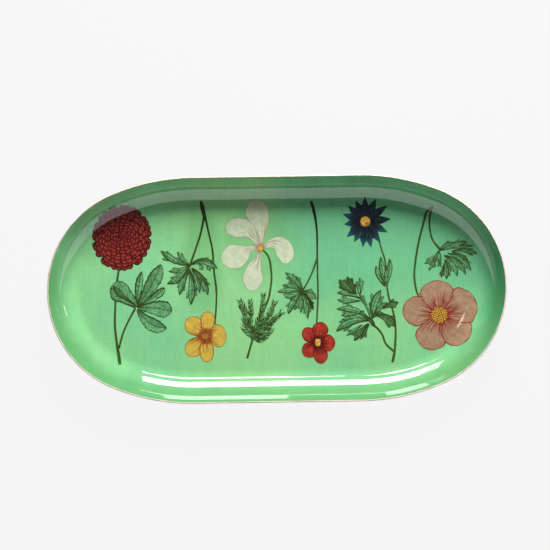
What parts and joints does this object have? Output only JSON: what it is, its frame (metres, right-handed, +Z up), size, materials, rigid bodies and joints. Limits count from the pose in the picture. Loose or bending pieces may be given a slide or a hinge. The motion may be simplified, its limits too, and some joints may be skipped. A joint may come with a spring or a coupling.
{
  "type": "painted tray",
  "caption": "Shallow oval steel serving tray with a flared wall, a pale edge line and a glossy green ground painted with cut flowers.",
  "frame": {"origin": "centre of the flat underside, on the surface the tray rests on", "axes": "+X along the tray's length, +Y across it towards the stem tips, +Z up out of the well"},
  "size_m": [0.46, 0.227, 0.0267],
  "materials": {
    "pan_steel": "cold-rolled sheet, hidden under the coats",
    "green_ground": "mottled green oil ground under clear gloss lacquer",
    "back_enamel": "plain pale enamel, satin gloss",
    "edge_pink": "thin pale pink edge line",
    "dahlia_red": "layered red petal strokes with dark gaps",
    "buttercup_yellow": "golden petals with a red-brown throat",
    "heart_gold": "golden heart dabs",
    "petal_white": "creamy white, pinkish towards the heart",
    "petal_scarlet": "scarlet petals with a dark throat",
    "cornflower_blue": "navy rays with blue tips",
    "anemone_pink": "dusty pink with red outlines and streaks",
    "leaf_green": "olive lines over blue-green fill",
    "stem_green": "dark olive stem strokes"
  },
  "bodies": {
    "root": {"steel_pan": "pan_steel", "ground_coat": "green_ground", "back_coat": "back_enamel", "rim_line": "edge_pink", "dahlia_petals": "dahlia_red", "dahlia_stem": "stem_green", "dahlia_leaf": "leaf_green", "buttercup_petals": "buttercup_yellow", "buttercup_heart": "heart_gold", "buttercup_stems": "stem_green", "buttercup_leaf": "leaf_green", "white_flower_petals": "petal_white", "white_flower_heart": "heart_gold", "white_flower_stem": "stem_green", "fern_leaf": "leaf_green", "red_flower_petals": "petal_scarlet", "red_flower_heart": "heart_gold", "red_flower_stems": "stem_green", "red_flower_leaf": "leaf_green", "cornflower_petals": "cornflower_blue", "cornflower_heart": "heart_gold", "cornflower_stem": "stem_green", "cornflower_bracts": "leaf_green", "cornflower_leaf": "leaf_green", "anemone_petals": "anemone_pink", "anemone_boss": "heart_gold", "anemone_stems": "stem_green", "anemone_leaf": "leaf_green"}
  },
  "joints": []
}
